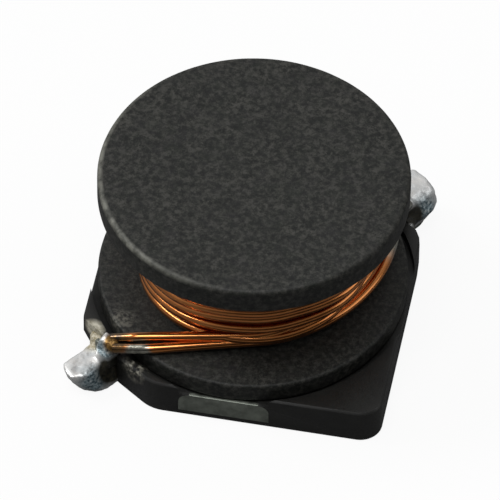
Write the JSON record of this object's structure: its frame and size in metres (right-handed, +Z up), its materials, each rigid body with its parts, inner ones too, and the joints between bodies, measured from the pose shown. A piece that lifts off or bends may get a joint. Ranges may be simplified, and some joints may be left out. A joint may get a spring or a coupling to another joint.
{
  "type": "unshielded drum core smd power inductor",
  "caption": "Surface mount power inductor: round ferrite drum core with an open copper winding, glued into a square moulded base with two folded, soldered lugs.",
  "frame": {"origin": "on the board plane, under the axis of the drum core, at the centre of the square base", "axes": "+Z up along the axis of the drum core, -Y towards the side face that carries the left terminal's plate, +X to the right seen from there"},
  "size_m": [0.0132, 0.0128, 0.0079],
  "materials": {
    "ferrite": "matt sintered ferrite, dark grey with fine mottling",
    "base_plastic": "matt black moulded plastic",
    "glue": "cured epoxy glue",
    "tinned_sheet": "dull tin plating on folded sheet",
    "enamelled_wire": "copper under a clear amber enamel",
    "solder": "bright solder with slightly rough, flat faces"
  },
  "bodies": {
    "root": {"drum_core": "ferrite", "base": "base_plastic", "core_adhesive": "glue", "terminal_left": "tinned_sheet", "terminal_right": "tinned_sheet", "winding": "enamelled_wire", "solder_left": "solder", "solder_right": "solder"}
  },
  "joints": []
}
